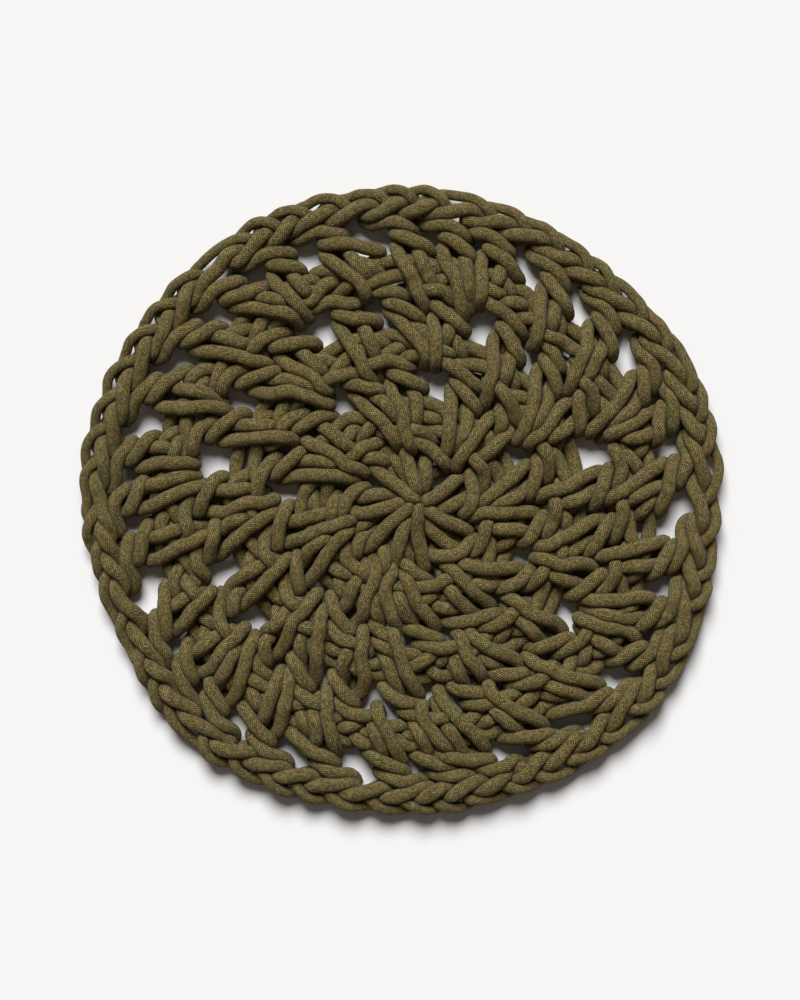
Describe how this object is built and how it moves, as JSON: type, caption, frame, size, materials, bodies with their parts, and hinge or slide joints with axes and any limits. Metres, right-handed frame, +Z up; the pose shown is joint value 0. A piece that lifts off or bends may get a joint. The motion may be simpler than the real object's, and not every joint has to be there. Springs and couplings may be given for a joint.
{
  "type": "crocheted cord trivet",
  "caption": "Round flat table mat crocheted from one thick cotton cord, in rounds of tall open stitches with a rim of chain loops.",
  "frame": {"origin": "on the table under the middle of the mat's outline", "axes": "+Z up out of the table, through the mat's thickness; +Y towards the top of the picture; +X to its right; the stitches are worked anticlockwise seen from +Z"},
  "size_m": [0.223, 0.2178, 0.0125],
  "materials": {
    "cotton_cord": "matt olive green braided cotton"
  },
  "bodies": {
    "root": {"crochet_mat": "cotton_cord"}
  },
  "joints": []
}
